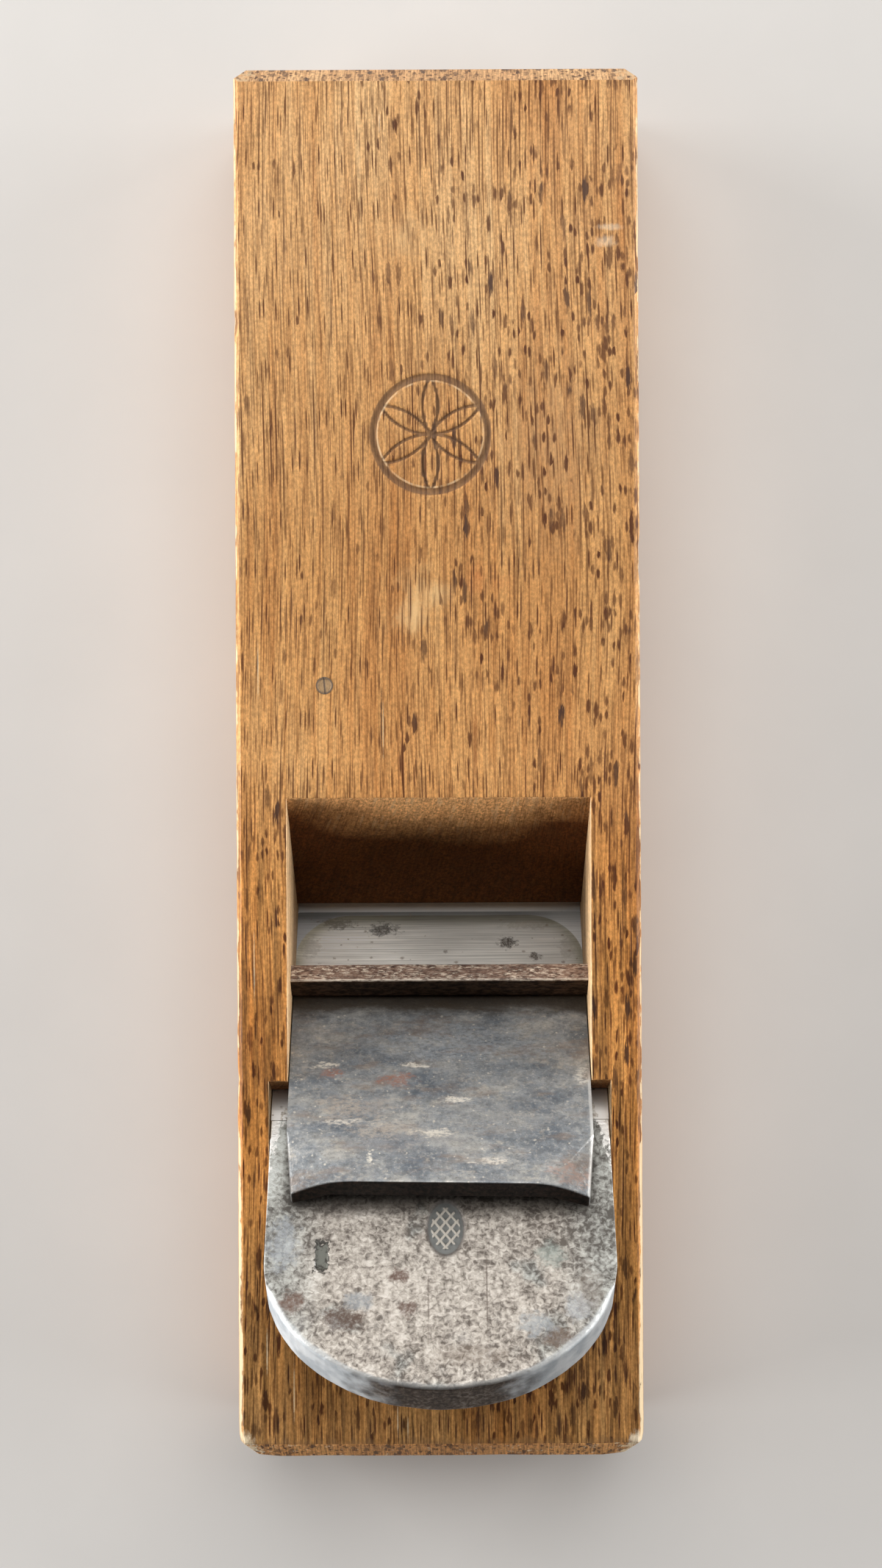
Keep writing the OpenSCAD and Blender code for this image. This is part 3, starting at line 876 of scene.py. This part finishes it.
blade = {
    "half": 33.5,
    "edgeHalf": 29.7,
    "cornerUp": 7.0,
    "length": 107.5,
    "steelLength": 51.0,
    "steelDepth": 2.0,
    "bevel": 28.0,
    # depth of the head's end, and the slope of the underside from there in degrees
    "headDepth": 10,
    "taper": 1.5,
    "shoulder": 86.5,
    "headArris": 1.2,
    "headUnderArris": 0.9,
    "sideArris": 0.35,
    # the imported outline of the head, and the height of the middle of the worn oval it is drawn onto
    "head": ((33.5, 81.8), (33.5, 88.1), (18.55, 103.36), (15.2, 105.0), (11.75, 106.3), (7.1, 107.1),
             (2.4, 107.45), (-2.4, 107.45)),
    "headMiddle": 81.8,
    # axis, first cut, last cut, step
    "slices": ((1, 54, 78, 3.0), (1, 80, 106.5, 1.5), (0, -30, 30, 1.5)),
    # the face is worn above a height and down to a depth, and hammered more and more towards its end
    "wornAbove": 53,
    "wornDepth": 2,
    "hammered": 0.14,
    "hammeredBetween": (80, 104),
    # the rim is dented inwards, towards a place on the middle line
    "dentedAbove": 84,
    "dented": 0.12,
    "dentedTowards": (0, 70),
    "hollow": {"half": 30.5, "low": 0.7, "high": 46.0, "round": 12.0, "depth": 0.35, "ease": 2.5,
               "snap": 0.27},
    "grid": 0.5,
    # where the faces begin that the plate leaves bare on both sides
    "besidePlate": (29.6, 29.9),
    # each spot: centre, radii, strength, colour
    "rust": {
        "level": 0, "reach": 6, "fray": 3.0, "fraySize": (1.2, 0.9, 1.2), "core": 0.45, "brush": 0.35,
        "spots": (
            ((14.4, 8.0), (2.2, 1.9), 1.0, (0.045, 0.034, 0.026)),
            ((-11.8, 4.4), (3.6, 2.0), 0.95, (0.065, 0.058, 0.05)),
            ((-21.5, 3.0), (4.2, 1.7), 0.8, (0.10, 0.085, 0.065)),
            ((20.1, 11.4), (1.5, 1.2), 0.95, (0.055, 0.04, 0.03)),
            ((1.3, 10.1), (0.6, 0.6), 0.8, (0.11, 0.08, 0.06)),
            ((18.5, 3.4), (6.0, 1.3), 0.45, (0.24, 0.21, 0.17)),
            ((-27.0, 9.0), (2.4, 3.4), 0.4, (0.26, 0.23, 0.19)),
            ((27.0, 9.5), (2.2, 3.2), 0.4, (0.26, 0.23, 0.19)),
        ),
    },
    "patches": {
        "level": 0, "reach": 6, "fray": 2.4, "fraySize": (1.8, 1.8, 1.8), "core": 0.45, "brush": 0.35,
        "spots": (
            ((-18.0, 93.6), (5.2, 3.2), 0.95, (0.085, 0.05, 0.035)),
            ((-7.8, 84.8), (2.1, 1.9), 0.9, (0.10, 0.05, 0.035)),
            ((-6.2, 91.8), (2.0, 2.0), 0.9, (0.10, 0.055, 0.04)),
            ((-28.1, 90.2), (3.0, 2.6), 0.85, (0.12, 0.06, 0.04)),
            ((21.7, 97.6), (3.4, 3.0), 0.8, (0.12, 0.075, 0.05)),
            ((-15.6, 90.2), (3.4, 2.3), 0.75, (0.24, 0.265, 0.29)),
            ((17.9, 95.1), (4.2, 3.2), 0.7, (0.31, 0.34, 0.365)),
            ((26.0, 91.5), (3.4, 3.6), 0.6, (0.46, 0.49, 0.52)),
            ((21.0, 80.7), (3.4, 3.4), 0.65, (0.30, 0.34, 0.31)),
            ((-30.0, 78.2), (3.6, 7.0), 0.65, (0.33, 0.36, 0.39)),
            ((-20.0, 70.0), (9.0, 4.0), 0.4, (0.15, 0.13, 0.115)),
            ((12.0, 66.0), (7.0, 3.2), 0.35, (0.27, 0.235, 0.205)),
            ((-9.0, 68.5), (6.0, 3.0), 0.35, (0.27, 0.235, 0.205)),
            ((28.0, 88.0), (3.5, 6.0), 0.4, (0.22, 0.18, 0.15)),
            ((6.0, 101.0), (9.0, 2.4), 0.45, (0.20, 0.155, 0.12)),
            ((8.7, 88.0), (0.22, 11.5), 0.75, (0.10, 0.07, 0.055)),
            ((-2.3, 91.5), (0.2, 7.5), 0.65, (0.10, 0.07, 0.055)),
        ),
    },
    # centre, half size, depth
    "oval": ((1.0, 74.9), (3.6, 5.8), 0.34),
    "oblong": ((-22.6, 80.65), (1.2, 2.7), 0.34),
    "punchMargin": 1.8,
    "punchCuts": 11,
}


def punchDepth(point):
    # a plain sunk oval with a raised lattice in it, and a small sunk oblong
    centre, half, depth = blade["oval"]
    x = (point.x - centre[0]) / half[0]
    y = (point.y - centre[1]) / half[1]
    out = math.hypot(x, y)
    lattice = min(abs((x + y * 1.3) * 1.7 % 1 - 0.5), abs((x - y * 1.3) * 1.7 % 1 - 0.5))
    raised = fade(lattice, 0.2, 0.1) * fade(out, 0.84, 0.72)
    deepest = depth * fade(out, 1.06, 0.92) * (1 - 0.8 * raised)
    centre, half, depth = blade["oblong"]
    out = max(abs(point.x - centre[0]) / half[0], abs(point.y - centre[1]) / half[1])
    return max(deepest, depth * fade(out, 1.1, 0.85))


def wornOutline(point):
    # draws the rim of the head from its packed corners onto a worn oval
    half, middle = blade["half"], blade["headMiddle"]
    height = blade["length"] - middle
    spot = Vector((abs(point.x) / half, (point.y - middle) / height))
    if spot.length < 0.3:
        return point
    corners = [Vector((x / half, (y - middle) / height)) for x, y in blade["head"]]
    rim = 1.0
    for first, second in zip(corners, corners[1:]):
        if first.cross(spot) >= 0 and spot.cross(second) >= 0:
            step = second - first
            rim = first.cross(step) / spot.normalized().cross(step)
    share = min(spot.length / rim, 1)
    change = 1 + (1 / rim - 1) * share ** 4
    return Vector((point.x * change, middle + (point.y - middle) * change, point.z))


def wornBlade(point):
    # uneven and hammered on its face, with the punches sunk, and rounder and dented round its head
    if point.y > blade["wornAbove"] and point.z < blade["wornDepth"]:
        head = fade(point.y, *blade["hammeredBetween"])
        point.z += 0.04 + 0.04 * grain(point, (6, 6, 6)) + punchDepth(point)
        point.z += head * blade["hammered"] * max(0, grain(point, (3, 3, 3), 5))
    if point.y > blade["headMiddle"]:
        point = wornOutline(point)
    if point.y > blade["dentedAbove"]:
        inward = Vector((*blade["dentedTowards"], point.z)) - point
        point += inward.normalized() * blade["dented"] * max(0, 0.3 + grain(point, (4, 4, 3), 3))
    return point


def buildBladeBody():
    piece = cadCopy("blade_iron", "blade_body")
    shoulder = blade["shoulder"]
    steelEnd = blade["steelLength"] - 0.7
    slope = math.tan(math.radians(blade["taper"]))
    margin = blade["punchMargin"]

    def onFace(point):
        return abs(point.z) < 0.06

    def onUnderside(point):
        return abs(point.z - (blade["headDepth"] - (blade["length"] - point.y) * slope)) < 0.1

    def underPunch(middle):
        return middle.z <= 0.01 and any(
            abs(middle.x - centre[0]) < half[0] + margin and abs(middle.y - centre[1]) < half[1] + margin
            for centre, half, _ in (blade["oval"], blade["oblong"]))

    bevelWhere(piece, lambda a, b: min(a.y, b.y) > shoulder and onFace(a) and onFace(b),
               blade["headArris"], 4, bladeFrame)
    bevelWhere(piece, lambda a, b: min(a.y, b.y) > shoulder - 1 and onUnderside(a) and onUnderside(b)
               and not (abs(a.x) > 33 and abs(b.x) > 33), blade["headUnderArris"], 3, bladeFrame)
    bevelWhere(piece, lambda a, b: min(abs(a.x), abs(b.x)) > 33.2 and min(a.y, b.y) > steelEnd
               and max(abs(a.z), abs(b.z)) < 0.1, blade["sideArris"], 2, bladeFrame)
    sliceAcross(piece, blade["slices"], bladeFrame)
    subdivideWhere(piece, underPunch, blade["punchCuts"], bladeFrame)
    reshape(piece, wornBlade, bladeFrame)
    smoothAll(piece, 45)
    return piece


def hollowInside(x, y):
    # how far a point lies inside the hollow's outline, negative outside
    shape = blade["hollow"]
    middle = (shape["low"] + shape["high"]) / 2
    cornerX = abs(x) - (shape["half"] - shape["round"])
    cornerY = abs(y - middle) - ((shape["high"] - shape["low"]) / 2 - shape["round"])
    outside = math.hypot(max(cornerX, 0), max(cornerY, 0)) + min(max(cornerX, cornerY), 0)
    return shape["round"] - outside


def hollowed(point):
    shape = blade["hollow"]
    if point.z >= 0.01 or point.y <= 0.2 or abs(point.x) >= 33:
        return point
    inside = hollowInside(point.x, point.y)
    if abs(inside) < shape["snap"]:
        # the row next to the outline is drawn onto it, so that the outline is crisp
        across = Vector((hollowInside(point.x + 0.05, point.y) - inside,
                         hollowInside(point.x, point.y + 0.05) - inside, 0))
        if across.length > 0:
            point -= across.normalized() * inside
        inside = 0
    if inside > 0:
        point.z = shape["depth"] * (1 - math.exp(-inside / shape["ease"]))
    return point


def buildBladeFacing():
    half, length = blade["half"], blade["steelLength"]
    columns = int(round(2 * half / blade["grid"]))
    rows = int(round(length / blade["grid"]))
    deselectAll()
    bpy.ops.mesh.primitive_grid_add(x_subdivisions=columns, y_subdivisions=rows, size=2 * mm)
    piece = bpy.context.object
    piece.name = "blade_facing"
    editAll(piece)
    bpy.ops.transform.resize(value=(half, length / 2, 1), center_override=(0, 0, 0))
    bpy.ops.transform.translate(value=(0, length / 2 * mm, 0))
    for side in (-1, 1):
        corner = (side * blade["edgeHalf"] * mm, 0, 0)
        cutWith(corner, (side * blade["cornerUp"], blade["edgeHalf"] - half, 0), clear_outer=True)
    bpy.ops.mesh.select_all(action="SELECT")
    bpy.ops.mesh.extrude_region_move(TRANSFORM_OT_translate={"value": (0, 0, blade["steelDepth"] * mm)})
    bpy.ops.mesh.dissolve_limited(angle_limit=math.radians(1))
    slope = math.radians(blade["bevel"])
    cutWith((0, 0, 0), (0, -math.sin(slope), math.cos(slope)), clear_outer=True, use_fill=True)
    bpy.ops.mesh.select_all(action="SELECT")
    bpy.ops.mesh.remove_doubles(threshold=1e-6)
    bpy.ops.mesh.normals_make_consistent(inside=False)
    backToObject()
    reshape(piece, hollowed)
    piece.data.transform(placed(bladeFrame))
    editAll(piece)
    bpy.ops.mesh.normals_make_consistent(inside=False)
    backToObject()
    smoothAll(piece, 4)
    return piece


def punchMask(coords, punch, grow, core):
    centre, half, _ = punch
    spot = {"Centre": (*centre, 0), "Radii": (half[0] * grow, half[1] * grow, 4), "Fray": 0.0,
            "Fray Size": (0.6, 0.6, 0.6), "Core": core}
    return coords.effect("softSpot", spot)["Mask"]


def polishedStrip(coords):
    # the bright strips beside the plate, which run out to a point up the blade's sides
    x, y, _ = coords.split()
    wide = abs(x)
    ragged = coords.clouds((1.3, 2.2, 2), 5, 0.72).spread(0.35, 0.65, -3.6, 3.6)
    limit = wide.spread(30, 33.5, 47.5, 60) + ragged
    return (limit - y).spread(0, 0.9) * wide.spread(*blade["besidePlate"])


def bladeBodyMaterial():
    # a cream and grey-brown mottle, smooth and bluish where the head's sides are worn, dark on its end with
    # rust and painted shade
    material, coords = newMaterial("pittedIron", bladeFrame)
    x, y, z = coords.split()
    wide = abs(x)
    mottle = coords.clouds((0.95, 0.95, 0.95), 3, 0.6, 0.6)
    coarse = coords.clouds((3.2, 3.2, 3.2), 3, 0.6)
    broad = coords.clouds((13, 13, 13), 3, 0.55)
    lift = y.spread(73, 84, -0.035, 0.012) + wide.spread(16, 31, 0.0, -0.04) + y.spread(92, 103, 0.0, -0.03)
    lift = lift + x.spread(-2, -12, 0.0, 0.022) * wide.spread(30, 24)
    # the strips beside the plate are lifted, most on the left, as painted light where they lie in shadow
    lift = lift + wide.spread(29, 31) * x.spread(-10, 10, 0.19, 0.055) * y.spread(76, 62)
    tone = mottle * 0.62 + coarse * 0.38 + (lift + broad.spread(0.35, 0.65, -0.03, 0.02))
    colour = tone.ramp((0.38, (0.12, 0.10, 0.085)), (0.46, (0.295, 0.265, 0.235)),
                       (0.53, (0.46, 0.42, 0.375)), (0.63, (0.64, 0.60, 0.55)))
    cool = wide.spread(20, 31, 0.0, 0.8).most(broad.spread(0.42, 0.3, 0.0, 0.8))
    colour = colour.tinted((0.82, 0.93, 0.99), cool)
    colour, covers = patched(coords, colour, blade["patches"])
    # the side of the head, and its end, dark with rust and painted shade
    clear = (y - wide.spread(0, 30, 89, 76)).spread(0, 2)
    side = z.spread(0.25, 0.9) * clear
    soft = coords.clouds((5, 5, 5), 3)
    worn = soft.spread(0.35, 0.65).between((0.40, 0.44, 0.48), (0.62, 0.65, 0.68))
    endRustAndShade = tone.ramp((0.38, (0.035, 0.02, 0.012)), (0.5, (0.085, 0.055, 0.036)), (0.62, (0.22, 0.18, 0.15)))
    worn = worn.painted(endRustAndShade, (wide + soft.spread(0.3, 0.7, -3, 3)).spread(19, 9))
    worn = worn.dimmed(x.spread(-24, 30, 1.15, 0.66))
    colour = colour.painted(worn, side)
    # bright edges and strips
    nearSide = wide.spread(31.8, 32.4) * y.spread(60, 66)
    arris = z.spread(0.05, 0.22) * z.spread(1.1, 0.5) * clear.most(nearSide) * wide.spread(8, 15, 0.3, 0.6)
    colour = colour.painted((0.58, 0.61, 0.63), arris)
    strip = polishedStrip(coords) * mottle.spread(0.3, 0.42, 0.5, 1.0)
    colour = colour.painted((0.84, 0.83, 0.81), strip)
    # painted shadow of the plate's slanting end on the blade
    plateShadow = (y + coarse.spread(0.3, 0.7, -0.5, 0.5) - x * 0.0185).spread(73.6, 70.0, 0.0, 0.62)
    colour = colour.tinted((0.10, 0.08, 0.06), plateShadow * wide.spread(31.5, 28))
    # the punches: the oval's rim and floor, and the oblong's ragged hole
    rimLine = punchMask(coords, blade["oval"], 1.14, 0.85)
    colour = colour.painted((0.075, 0.065, 0.06), rimLine * 0.8)
    floor = z.spread(0.26, 0.18).between((0.15, 0.155, 0.15), (0.40, 0.37, 0.325))
    colour = colour.painted(floor, punchMask(coords, blade["oval"], 0.98, 0.92))
    centre, half, _ = blade["oblong"]
    acrossHole, alongHole, _ = abs((coords - (*centre, 0)) / (*half, 1)).split()
    out = acrossHole.most(alongHole) + mottle.spread(0.3, 0.7, -0.3, 0.3)
    hole = out.spread(1.25, 1.05)
    inner = out.spread(0.6, 0.95).between((0.15, 0.155, 0.135), (0.04, 0.036, 0.03))
    colour = colour.painted(inner, hole)
    punched = rimLine.most(hole)
    shiny = strip.most(side.most(arris) * 0.5)
    covered = reduce(Signal.most, covers)
    dull = covered.spread(0.1, 0.7, 1.0, 0.35) * tone.spread(0.42, 0.58, 0.3, 0.6)
    looks = {"Base Color": colour, "Metallic": dull.most(shiny) * punched.spread(0, 1, 1.0, 0.4),
             "Roughness": mottle.spread(0.35, 0.65, 0.6, 0.46)}
    return finished(material, looks, tone * 0.16 * (1 - punched.most(side)))


def bladeSteelMaterial():
    # ground across, dull in the hollow and polished on the flat round it
    material, coords = newMaterial("groundSteel", bladeFrame)
    x, y, z = coords.split()
    lines = coords.clouds((30, 0.22, 3), 4, 0.68)
    broad = coords.clouds((18, 5, 9), 3)
    colour = lines.ramp((0.34, (0.50, 0.495, 0.47)), (0.66, (0.96, 0.945, 0.90)))
    colour = colour.tinted((0.70, 0.70, 0.70), broad.spread(0.3, 0.7, 0.0, 0.6))
    colour = colour.dimmed(x.spread(-26, 2, 1.45, 1.02))
    # the hollow is stained olive along its outline, partly painted shade of its sloping edge, and the flat is
    # brighter on the right as a painted highlight
    colour = colour.tinted((0.56, 0.545, 0.46), z.spread(0.3, 0.08) * broad.spread(0.3, 0.55, 0.6, 1.0))
    flat = z.spread(0.04, 0.012)
    land = lines.ramp((0.36, (0.62, 0.64, 0.65)), (0.64, (0.95, 0.97, 0.98)))
    land = x.spread(20, 27).between(land.tinted((0.75, 0.76, 0.78)), land)
    colour = colour.painted(land, flat)
    # painted shade on the facing near the cutting edge, deep in the mouth
    mouthShade = (y + broad.spread(0.3, 0.7, -0.5, 0.5)).spread(5.0, 0.6, 0.0, 0.82)
    colour = colour.tinted((0.17, 0.16, 0.14), mouthShade * x.spread(14, 26, 1.0, 0.7))
    # beside the plate it is mottled like the iron above it, with the same bright strips
    beside = abs(x).spread(*blade["besidePlate"]) * y.spread(36, 40)
    bright = beside * polishedStrip(coords)
    mottle = coords.clouds((0.95, 0.95, 0.95), 3, 0.6, 0.6)
    stained = mottle.ramp((0.36, (0.24, 0.21, 0.18)), (0.5, (0.56, 0.52, 0.47)), (0.64, (0.76, 0.74, 0.70)))
    colour = colour.painted(stained, beside).painted((0.84, 0.83, 0.81), bright)
    fine = coords.effect("pits", {"Spacing": (1.6, 1.3, 1.6), "Width": 0.3, "Cover": 0.3})["Mask"]
    colour = colour.painted((0.20, 0.15, 0.11), fine * 0.6)
    colour, covers = patched(coords, colour, blade["rust"])
    gleam = flat.spread(0, 1, 0.65, 0.3).most(bright)
    looks = {"Base Color": colour, "Metallic": gleam * reduce(Signal.most, covers).spread(0, 0.8, 1.0, 0.15),
             "Roughness": flat.spread(0, 1, 0.5, 0.4)}
    return finished(material, looks, lines * 0.014)


bladeBody = buildBladeBody()
bladeBody.data.materials.append(bladeBodyMaterial())
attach(bladeBody, "blade")
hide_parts("blade_iron")
bladeFacing = buildBladeFacing()
bladeFacing.data.materials.append(bladeSteelMaterial())
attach(bladeFacing, "blade")
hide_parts("blade_steel")
print("blade finished,", len(bladeFacing.data.polygons), "faces on its facing")


# the chipbreaker

chip = {
    "half": 29.75,
    "ear": (8.7, 11.0),
    "length": 55.8,
    "thick": 4.8,
    "skew": 1.1,
    "drop": 4.8,
    "softness": 3.8,
    "foldCuts": 12,
    "arris": 0.5,
    "bevelAbove": 12,
    # the folds are the slanting edges outside and above these
    "foldsPast": (20, 43),
    "leastSlant": 2,
    # cream scuffs, brown rubbed places and rust, each with centre, radii, strength, colour
    "patches": {
        "level": 0, "reach": 9, "fray": 3.4, "fraySize": (3.2, 1.5, 2), "core": 0.45, "brush": 0.85,
        "spots": (
            ((-8.0, 46.0), (14, 4.0), 0.5, (0.155, 0.15, 0.155)),
            ((14.0, 41.0), (12, 4.5), 0.45, (0.20, 0.195, 0.185)),
            ((4.0, 23.0), (22, 5.5), 0.4, (0.29, 0.32, 0.35)),
            ((27.0, 51.5), (5.0, 3.8), 0.7, (0.15, 0.115, 0.095)),
            ((-27.5, 54.0), (4.0, 2.4), 0.6, (0.12, 0.09, 0.075)),
            ((-8.5, 31.8), (4.2, 1.9), 0.85, (0.20, 0.095, 0.065)),
            ((-21.3, 30.0), (3.0, 1.5), 0.85, (0.21, 0.105, 0.075)),
            ((24.8, 53.2), (5.0, 2.6), 0.8, (0.30, 0.21, 0.175)),
            ((-22.8, 28.4), (3.0, 1.0), 0.8, (0.60, 0.555, 0.48)),
            ((-5.0, 28.4), (2.8, 0.8), 0.75, (0.60, 0.555, 0.48)),
            ((2.7, 36.6), (3.8, 0.9), 0.75, (0.58, 0.54, 0.47)),
            ((-18.8, 41.7), (5.2, 0.8), 0.7, (0.52, 0.48, 0.42)),
            ((-0.9, 44.3), (4.5, 1.2), 0.7, (0.54, 0.50, 0.43)),
            ((10.4, 51.0), (4.4, 1.0), 0.7, (0.52, 0.48, 0.42)),
            ((28.0, 31.4), (1.6, 2.6), 0.6, (0.60, 0.57, 0.51)),
            ((-13.6, 49.7), (0.6, 2.0), 0.8, (0.62, 0.58, 0.50)),
            ((-16.0, 38.5), (9.0, 3.2), 0.4, (0.27, 0.225, 0.19)),
            ((-19.5, 38.6), (6.5, 3.0), 0.4, (0.37, 0.325, 0.27)),
            ((-11.0, 43.4), (7.5, 2.6), 0.5, (0.38, 0.335, 0.28)),
        ),
    },
}


def pastFold(point, side):
    # how far a point of the plate lies past the line where one ear bends down
    width, height = chip["ear"]
    end = chip["length"] + side * chip["skew"] / 2
    outward = point.x * side - chip["half"]
    return (outward * height + (point.y - (end - height)) * width) / math.hypot(width, height)


def buildChipBody():
    piece = cadCopy("chipbreaker_iron", "chipbreaker_body")
    width, height = chip["ear"]
    local = placed(chipFrame)
    soft = chip["softness"]
    slope = chip["drop"] / (width * height / math.hypot(width, height))

    def isFold(a, b):
        past = min(abs(a.x), abs(b.x)) > chip["foldsPast"][0] and min(a.y, b.y) > chip["foldsPast"][1]
        slants = min(abs(a.x - b.x), abs(a.y - b.y)) > chip["leastSlant"]
        return max(abs(a.z), abs(b.z)) < 0.03 and past and slants

    def softened(point):
        # bends the ears down along a curve and not along a crease
        past = max(pastFold(point, -1), pastFold(point, 1))
        if abs(past) >= soft or point.z >= chip["thick"] / 2 + slope * max(past, 0):
            return None
        point.z += slope * ((past + soft) ** 2 / (4 * soft) - max(past, 0))
        return point

    bevelWhere(piece, lambda a, b: min(a.y, b.y) > chip["bevelAbove"] and not isFold(a, b), chip["arris"], 3,
               chipFrame)
    editAll(piece)
    for side in (-1, 1):
        normal = Vector((side * height, width, 0)).normalized()
        onFold = Vector((side * chip["half"], chip["length"] + side * chip["skew"] / 2 - height, 0))
        for place in steps(-soft, soft, 2 * soft / chip["foldCuts"]):
            cutWith(local @ ((onFold + normal * place) * mm), local.to_3x3() @ normal)
    backToObject()
    reshape(piece, softened, chipFrame)
    smoothAll(piece, 50)
    return piece


def chipMaterial():
    # blue-grey patina with brown and cream rubbed places, bright along both sides
    material, coords = newMaterial("bluedIron", chipFrame)
    x, y, _ = coords.split()
    half = chip["half"]
    width, height = chip["ear"]
    foldStart = chip["length"] - height
    bands = coords.clouds((13, 6, 9), 6, 0.66, 0.2)
    colour = bands.ramp((0.35, (0.105, 0.124, 0.147)), (0.5, (0.195, 0.208, 0.22)),
                        (0.65, (0.30, 0.298, 0.284)))
    fine = coords.clouds((0.9, 0.8, 1), 5, 0.7)
    middling = coords.clouds((2.6, 1.9, 2), 5, 0.72)
    colour = colour.dimmed(middling.spread(0.36, 0.64, 0.84, 1.16))
    colour = colour.painted((0.47, 0.45, 0.42), fine.spread(0.5, 0.7, 0.0, 0.5))
    colour = colour.painted((0.08, 0.07, 0.065), fine.spread(0.47, 0.32, 0.0, 0.5))
    dry = (coords + (7, 31, 0)).clouds((5.5, 3.2, 6), 7, 0.8)
    colour = colour.painted((0.43, 0.395, 0.34), dry.spread(0.53, 0.66, 0.0, 0.5))
    warm = (coords + (53, 3, 0)).clouds((15, 5, 6), 5, 0.66)
    colour = colour.painted((0.185, 0.145, 0.12), warm.spread(0.52, 0.66, 0.0, 0.6))
    specks = coords.effect("pits", {"Spacing": (1.3, 1.1, 1.3), "Width": 0.24, "Cover": 0.36})["Mask"]
    colour = colour.painted((0.58, 0.54, 0.47), specks * 0.6)
    colour, covers = patched(coords, colour, chip["patches"])
    # painted shadow of the pin, paler towards the end, darker on the ears
    pinShadow = (y + bands.spread(0.3, 0.7, -1.2, 1.2)).spread(17.5, 13.5, 0.0, 0.88)
    colour = colour.painted((0.048, 0.033, 0.019), pinShadow)
    colour = colour.dimmed(y.spread(22, 50, 0.98, 1.44))
    past = (abs(x) - half) * (height / math.hypot(width, height))
    past = past + (y - foldStart) * (width / math.hypot(width, height))
    colour = colour.painted(colour.tinted((0.46, 0.45, 0.44)), past.spread(-3.5, 3.0, 0.0, 0.9))
    # bright along both sides, most on the right
    side = half - (y - foldStart).most(0) * (1 / height) - abs(x)
    rim = side.spread(0.75, 0.35) * y.spread(29, 34) * x.spread(-29, 29, 0.06, 0.9)
    rim = rim * y.spread(45, 49, 1.0, 0.4)
    colour = colour.painted((0.74, 0.74, 0.72), rim * 0.8)
    # the end is dark rust and painted shade
    endLine = x * (chip["skew"] / (2 * half)) + chip["length"]
    endFace = (endLine - y).spread(0.3, 0.1)
    rust = fine.ramp((0.4, (0.003, 0.002, 0.001)), (0.62, (0.020, 0.010, 0.006)))
    colour = colour.painted(rust, endFace * 0.97)
    metal = reduce(Signal.most, covers).spread(0, 0.7, 0.6, 0.25).most(rim)
    looks = {"Base Color": colour, "Metallic": metal * endFace.spread(0, 1, 1.0, 0.1),
             "Specular IOR Level": endFace.spread(0, 1, 0.5, 0.1),
             "Roughness": fine.spread(0.3, 0.7, 0.58, 0.44)}
    return finished(material, looks, fine * 0.06)


chipBody = buildChipBody()
chipBody.data.materials.append(chipMaterial())
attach(chipBody, "chipbreaker")
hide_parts("chipbreaker_iron")
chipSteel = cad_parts["chipbreaker_steel"]
chipSteel.data.materials.clear()
chipSteel.data.materials.append(bladeFacing.data.materials[0])
print("chipbreaker finished")
